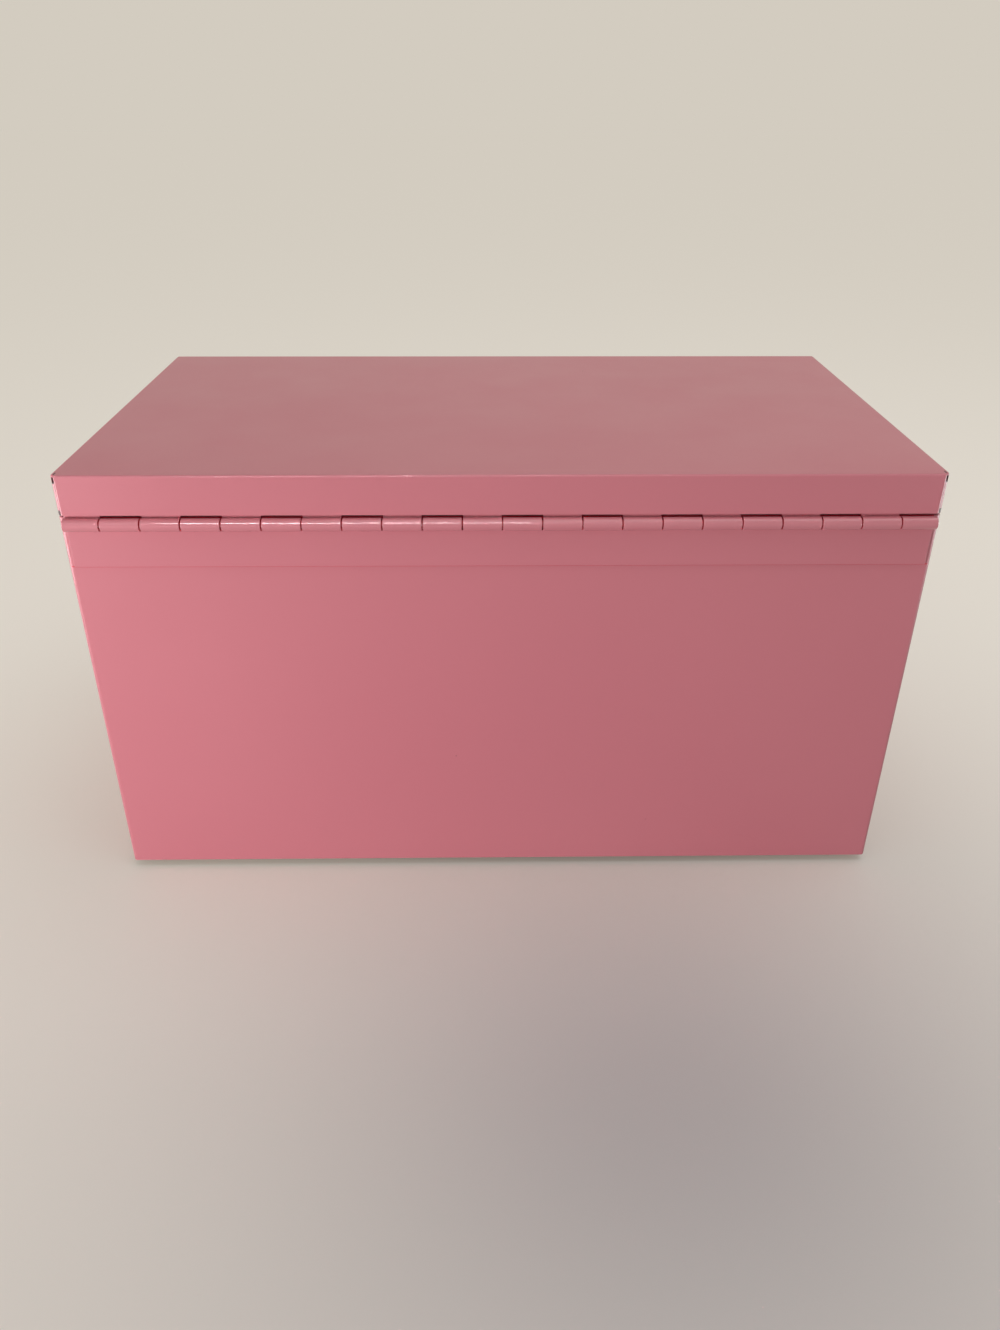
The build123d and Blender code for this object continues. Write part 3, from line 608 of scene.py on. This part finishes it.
def makeGrip(node):
    # a sleeve whose radius loses ribDepth * (0.5 - 0.5 * cos(2 * pi * (a - bareEnd) / rib)) ^ 2 between two
    # bare ends, and endRound - sqrt(endRound ^ 2 - corner ^ 2) where the ends are rounded
    low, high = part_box(node)
    look = gripLook
    outer = (high.z - low.z) / 2
    length = high.y - low.y
    a = np.linspace(0.0, length, look["rows"])
    fromEnd = np.minimum(a, length - a)
    groove = (0.5 - 0.5 * np.cos(tau * (a - look["bareEnd"]) / look["rib"])) ** 2
    corner = np.clip(look["endRound"] - fromEnd, 0.0, None)
    drop = look["endRound"] - np.sqrt(look["endRound"] ** 2 - corner ** 2)
    r = outer - drop - np.where(fromEnd > look["bareEnd"], look["ribDepth"] * groove, 0.0)
    along = np.concatenate([[0.0], a, [length, 0.0]])
    radius = np.concatenate([[look["bore"]], r, [look["bore"], look["bore"]]])
    middle = (low + high) / 2
    buildPiece(node, [turned(along, radius, (middle.x, low.y, middle.z), (0, 1, 0), look["steps"])])


# Ribbed mats in the till and the drawers

matLook = {
    "rib": 0.0030,
    "ribHeight": 0.00075,
    "flat": 1.7,  # how square the ribs are
    "samples": 8,  # per rib
}


def makeMat(node):
    # rectangles along x, the first and last of them closed to their middles, with their tops at
    # high - ribHeight * (1 - clip(0.5 + flat * cos(2 * pi * x / rib), 0, 1))
    low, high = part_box(node)
    look = matLook
    count = int((high.x - low.x) / look["rib"] * look["samples"])
    x = np.linspace(low.x, high.x, count)
    rise = np.clip(0.5 + look["flat"] * np.cos(tau * x / look["rib"]), 0.0, 1.0)
    top = high.z - look["ribHeight"] * (1.0 - rise)
    bottom = np.full(count, low.z)
    front, back = np.full(count, low.y), np.full(count, high.y)
    around = [(front, bottom), (front, top), (back, top), (back, bottom), (front, bottom)]
    loops = np.stack([np.stack([x, y, z], axis=-1) for y, z in around], axis=1)
    middles = [np.broadcast_to(loop[:-1].mean(axis=0), (1, *loop.shape)) for loop in (loops[0], loops[-1])]
    buildPiece(node, [np.concatenate([middles[0], loops, middles[1]])])


makers = {
    "handle_rivets": makeRivets,
    "foot_screws": makeFootScrews,
    "cam_screw": makeCamScrew,
    "lock_barrel": makeLockBarrel,
    "till_liner": makeMat,
}
for level in ("lower", "upper"):
    makers[level + "_runner_rivets"] = makeRivets
    makers[level + "_drawer_screws"] = makeDrawerScrews
    makers[level + "_drawer_liner"] = makeMat
for side in ("left", "right"):
    makers[side + "_handle_grip"] = makeGrip
for node, make in makers.items():
    make(node)
print("modelled:", len(makers), "pieces")

for node in frame["nodes"]:
    if node not in makers:
        soften(node)
print("rounded:", len(frame["nodes"]) - len(makers), "pieces")


# Floor and backdrop

stage = {
    "reach": 6.0,
    "floor": colour(200, 196, 194),
    "grain": 0.0007,
    "grainDepth": 0.00001,
    "roughness": 0.9,
    "backdrop": colour(211, 204, 192),
    "poolMiddle": (-0.05, 0.19, -0.08),  # straight above this point the floor shows its own grey,
    "poolFrom": 0.08,  # and further from it than this it brightens towards the backdrop's colour,
    "poolHalf": 0.085,  # half of what is left in every such step
    "ambient": 0.46,
    "ambientTint": (1.0, 0.985, 0.97, 1.0),
}


def seenDirectly(g):
    # 1 for what the camera, a reflection or a clear thing shows, 0 for what lights the chest
    path = g.node("LightPath", {}, {}).socket.node
    camera, glossy, clear = [Wire(g, path.outputs["Is " + kind + " Ray"])
                             for kind in ("Camera", "Glossy", "Transmission")]
    return camera.most(glossy).most(clear)


def makeFloor():
    reach = stage["reach"]
    corners = [(-reach, -reach, 0), (reach, -reach, 0), (reach, reach, 0), (-reach, reach, 0)]
    mesh = bpy.data.meshes.new("floor")
    mesh.from_pydata(corners, [], [(0, 1, 2, 3)])
    g = Graph("floorPaper")
    away = g.node("VectorMath", {"operation": "DISTANCE"}, {0: g.place, 1: stage["poolMiddle"]}, out=1)
    steps = ((away - stage["poolFrom"]) * (1.0 / stage["poolHalf"])).most(0.0)
    fade = 1.0 - 0.5 ** steps
    # far from the lamps the floor shows its colour times the ambient light, and the glow adds what it lacks
    # for the backdrop's colour
    lit = [stage["ambient"] * tint * share for tint, share in zip(stage["ambientTint"], stage["floor"])]
    rest = [whole - own for whole, own in zip(stage["backdrop"], lit)]
    glow = g.blend((0.0, 0.0, 0.0, 1.0), (*rest[:3], 1.0), fade * seenDirectly(g))
    g.finish(Base_Color=stage["floor"], Roughness=stage["roughness"], Specular_IOR_Level=0.0,
             Normal=g.relief(g.noise(stage["grain"]), stage["grainDepth"]),
             Emission_Color=glow, Emission_Strength=1.0)
    mesh.materials.append(g.material)
    floor = bpy.data.objects.new("floor", mesh)
    bpy.context.scene.collection.objects.link(floor)
    return floor


def makeWorld():
    world = bpy.data.worlds.new("studio")
    bpy.context.scene.world = world
    world.use_nodes = True
    world.node_tree.nodes.clear()
    g = Nodes(world.node_tree)
    light = g.node("Background", {}, {"Color": stage["ambientTint"], "Strength": stage["ambient"]})
    backdrop = g.node("Background", {}, {"Color": stage["backdrop"]})
    shown = g.node("MixShader", {}, {0: seenDirectly(g), 1: light, 2: backdrop})
    g.feed(world.node_tree.nodes.new("ShaderNodeOutputWorld").inputs["Surface"], shown)


# Area lamps

# kind, place, what they point at, width and height in metres, strength in watts; a plain lamp lights
# everything, a fill lamp leaves the floor out and isn't seen in glossy surfaces, an edge lamp is seen only
# in the shell's gloss, and a shine lamp in any gloss
lamps = {
    "leftPanel": {"kind": "fill", "place": (0.38, 0.44, 0.085), "aim": (0.0, 0.08, 0.085),
                  "size": (0.40, 0.16), "power": 1.9},
    "leftEdge": {"kind": "edge", "place": (0.40, 0.25, 0.085), "aim": (0.0, 0.22, 0.085),
                 "size": (0.40, 0.16), "power": 1.8},
    "rightEdge": {"kind": "edge", "place": (-0.50, 0.20, 0.085), "aim": (0.0, 0.20, 0.085),
                  "size": (0.40, 0.16), "power": 2.6},
    "topPanel": {"kind": "plain", "place": (-0.20, 0.10, 0.90), "aim": (-0.05, 0.05, 0.0),
                 "size": (0.70, 0.70), "power": 1.9},
    "frontPanel": {"kind": "fill", "place": (0.20, -1.00, 0.16), "aim": (0.0, -0.08, 0.08),
                   "size": (1.40, 0.32), "power": 2.6},
    "strip": {"kind": "shine", "place": (0.22, 1.08, 1.07), "aim": (0.05, 0.08, 0.14),
              "size": (0.60, 0.06), "power": 7.5},
}
shell = ("lid_shell", "body_shell", "hinge_lower_leaf", "hinge_upper_leaf")


def lightGroup(name, things, state):
    # a collection that says which things a lamp lights or leaves out
    group = bpy.data.collections.new(name)
    for thing in things:
        group.objects.link(thing)
    for entry in group.collection_objects:
        entry.light_linking.link_state = state
    return group


def makeLamp(name, look, groups):
    lamp = bpy.data.lights.new(name, "AREA")
    lamp.shape = "RECTANGLE"
    lamp.size, lamp.size_y = look["size"]
    lamp.energy = look["power"]
    holder = bpy.data.objects.new(name, lamp)
    bpy.context.scene.collection.objects.link(holder)
    holder.location = look["place"]
    holder.rotation_euler = (Vector(look["aim"]) - holder.location).to_track_quat("-Z", "Y").to_euler()
    holder.visible_camera = False
    holder.visible_diffuse = look["kind"] not in ("edge", "shine")
    holder.visible_glossy = look["kind"] != "fill"
    if look["kind"] in groups:
        holder.light_linking.receiver_collection = groups[look["kind"]]


# Camera

cameraLook = {
    "aside": 0.0057,  # from the chest's middle towards +X
    "behind": 0.3084,  # from the outside of the back
    "above": 0.2609,  # from the underside of the body
    "turn": Euler((radians(60.304), radians(-0.166), radians(179.148))),
    "focal": 1034.2,  # in pixels of the 1000 x 1330 picture
    "longSide": 1330,
    "clip": (0.01, 50.0),
}


def makeCamera():
    low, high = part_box("body_shell")
    look = cameraLook
    lens = bpy.data.cameras.new("camera")
    lens.lens = look["focal"] / look["longSide"] * lens.sensor_width
    lens.clip_start, lens.clip_end = look["clip"]
    holder = bpy.data.objects.new("camera", lens)
    bpy.context.scene.collection.objects.link(holder)
    holder.location = (look["aside"], high.y + look["behind"], low.z + look["above"])
    holder.rotation_euler = look["turn"]
    bpy.context.scene.camera = holder


floor = makeFloor()
shellPieces = [bpy.data.objects[camel(node)] for node in shell]
groups = {
    "fill": lightGroup("floorLeftOut", [floor], "EXCLUDE"),
    "edge": lightGroup("shellAlone", shellPieces, "INCLUDE"),
}
makeWorld()
for name, look in lamps.items():
    makeLamp(name, look, groups)
makeCamera()
bpy.context.scene.view_settings.view_transform = "Standard"
print("stage, lamps and camera")
